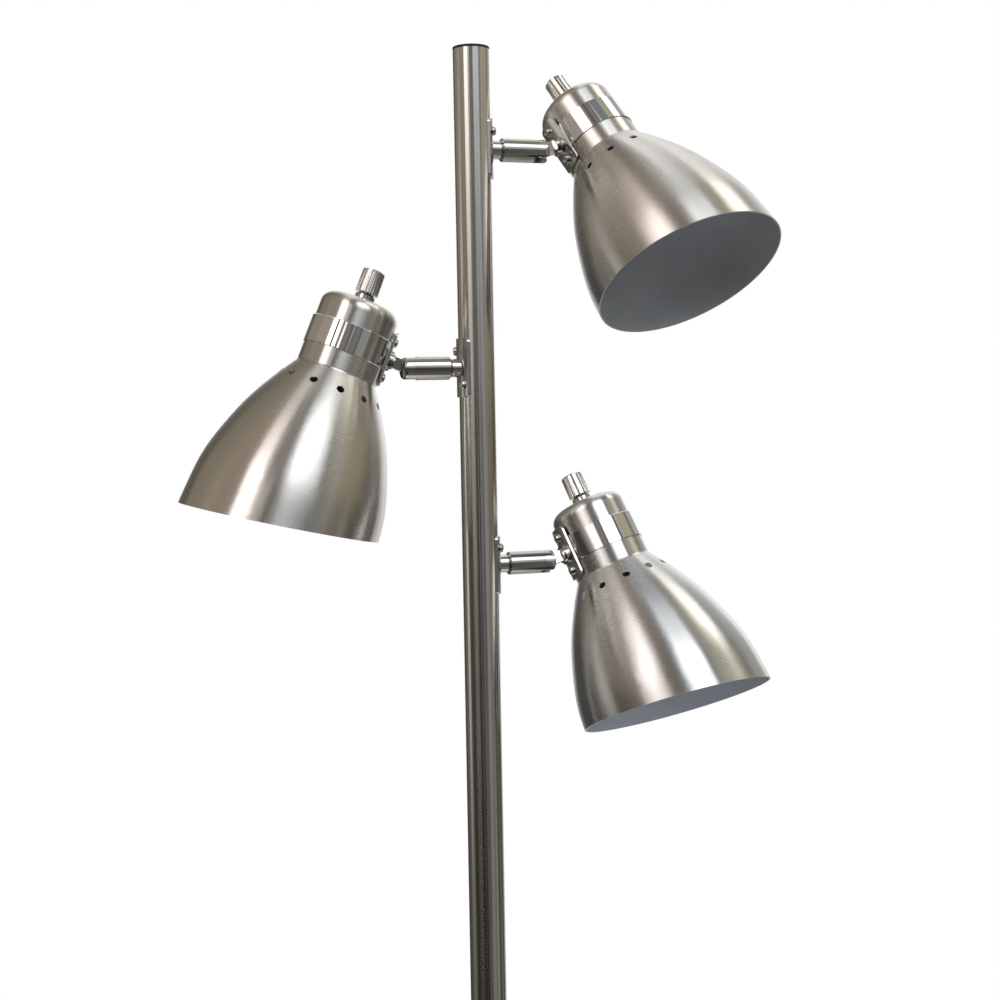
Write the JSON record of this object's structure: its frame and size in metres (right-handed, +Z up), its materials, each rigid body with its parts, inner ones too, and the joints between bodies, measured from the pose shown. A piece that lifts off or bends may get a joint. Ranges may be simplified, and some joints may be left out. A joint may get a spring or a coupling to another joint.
{
  "type": "floor lamp",
  "caption": "Tree floor lamp: round weighted base, sectional pole and swivelling bell shades on short arms, each with its own rotary switch.",
  "frame": {"origin": "centre of the round base, on the floor", "axes": "+Z up along the pole; the upper and lower arms point along +X and the middle arm along -X; the front faces -Y"},
  "size_m": [0.3561, 0.2552, 1.6268],
  "materials": {
    "brushed_pole": "brushed nickel plate, satin",
    "brushed_nickel": "brushed nickel plate, brushed round the axis",
    "brushed_plate": "satin nickel plate",
    "polished_nickel": "polished nickel plate",
    "chrome_band": "mirror chrome",
    "zinc_steel": "zinc plated",
    "cast_iron": "as cast, painted",
    "pad_rubber": "closed-cell foam rubber",
    "black_plastic": "matte",
    "phenolic": "moulded phenolic",
    "brass_contacts": "bright"
  },
  "bodies": {
    "stand": {"pole_section_1": "brushed_pole", "pole_section_2": "brushed_pole", "pole_section_3": "brushed_pole", "pole_section_4": "brushed_pole", "pole_sleeve_1": "zinc_steel", "pole_sleeve_2": "zinc_steel", "pole_sleeve_3": "zinc_steel", "pole_top_cap": "black_plastic", "base_cover": "brushed_nickel", "base_weight": "cast_iron", "base_pad": "pad_rubber", "base_collar": "polished_nickel", "base_stud": "zinc_steel", "base_nut": "zinc_steel", "cord_grommet": "black_plastic", "upper_pole_plate": "brushed_plate", "upper_pole_screws": "polished_nickel", "upper_arm_hub": "polished_nickel", "middle_pole_plate": "brushed_plate", "middle_pole_screws": "polished_nickel", "middle_arm_hub": "polished_nickel", "lower_pole_plate": "brushed_plate", "lower_pole_screws": "polished_nickel", "lower_arm_hub": "polished_nickel"},
    "upper_arm": {"upper_arm_barrel": "polished_nickel", "upper_hinge_rivet": "polished_nickel"},
    "upper_head": {"upper_knuckle": "polished_nickel", "upper_head_plate": "brushed_plate", "upper_head_screws": "polished_nickel", "upper_cap": "brushed_nickel", "upper_band": "chrome_band", "upper_shade": "brushed_nickel", "upper_socket_body": "phenolic", "upper_socket_contacts": "brass_contacts", "upper_switch_nut": "polished_nickel"},
    "upper_knob": {"upper_knob": "polished_nickel"},
    "middle_arm": {"middle_arm_barrel": "polished_nickel", "middle_hinge_rivet": "polished_nickel"},
    "middle_head": {"middle_knuckle": "polished_nickel", "middle_head_plate": "brushed_plate", "middle_head_screws": "polished_nickel", "middle_cap": "brushed_nickel", "middle_band": "chrome_band", "middle_shade": "brushed_nickel", "middle_socket_body": "phenolic", "middle_socket_contacts": "brass_contacts", "middle_switch_nut": "polished_nickel"},
    "middle_knob": {"middle_knob": "polished_nickel"},
    "lower_arm": {"lower_arm_barrel": "polished_nickel", "lower_hinge_rivet": "polished_nickel"},
    "lower_head": {"lower_knuckle": "polished_nickel", "lower_head_plate": "brushed_plate", "lower_head_screws": "polished_nickel", "lower_cap": "brushed_nickel", "lower_band": "chrome_band", "lower_shade": "brushed_nickel", "lower_socket_body": "phenolic", "lower_socket_contacts": "brass_contacts", "lower_switch_nut": "polished_nickel"},
    "lower_knob": {"lower_knob": "polished_nickel"}
  },
  "joints": [
    {"name": "upper_swivel", "type": "hinge", "parent": "stand", "child": "upper_arm", "pos_m": [0.0167, 0, 1.5665], "axis": [1, 0, 0], "range_deg": [-119, 181]},
    {"name": "upper_tilt", "type": "hinge", "parent": "upper_arm", "child": "upper_head", "pos_m": [0.0426, 0, 1.5665], "axis": [0, -0.8572, 0.515], "range_deg": [-26, 44]},
    {"name": "upper_switch", "type": "hinge", "parent": "upper_head", "child": "upper_knob", "pos_m": [0.06776, 0.02244, 1.60384], "axis": [-0.3584, 0.4808, 0.8002], "continuous": true},
    {"name": "middle_swivel", "type": "hinge", "parent": "stand", "child": "middle_arm", "pos_m": [-0.0167, 0, 1.4365], "axis": [-1, 0, 0], "range_deg": [-150, 150]},
    {"name": "middle_tilt", "type": "hinge", "parent": "middle_arm", "child": "middle_head", "pos_m": [-0.0426, 0, 1.4365], "axis": [0, 1, 0], "range_deg": [-27.3, 42.7]},
    {"name": "middle_switch", "type": "hinge", "parent": "middle_head", "child": "middle_knob", "pos_m": [-0.06677, 0, 1.48062], "axis": [0.3795, 0, 0.9252], "continuous": true},
    {"name": "lower_swivel", "type": "hinge", "parent": "stand", "child": "lower_arm", "pos_m": [0.0167, 0, 1.3175], "axis": [1, 0, 0], "range_deg": [-128, 172]},
    {"name": "lower_tilt", "type": "hinge", "parent": "lower_arm", "child": "lower_head", "pos_m": [0.0426, 0, 1.3175], "axis": [0, -0.9272, 0.3746], "range_deg": [-22, 48]},
    {"name": "lower_switch", "type": "hinge", "parent": "lower_head", "child": "lower_knob", "pos_m": [0.07074, 0.01562, 1.35616], "axis": [-0.2924, 0.3582, 0.8867], "continuous": true}
  ]
}
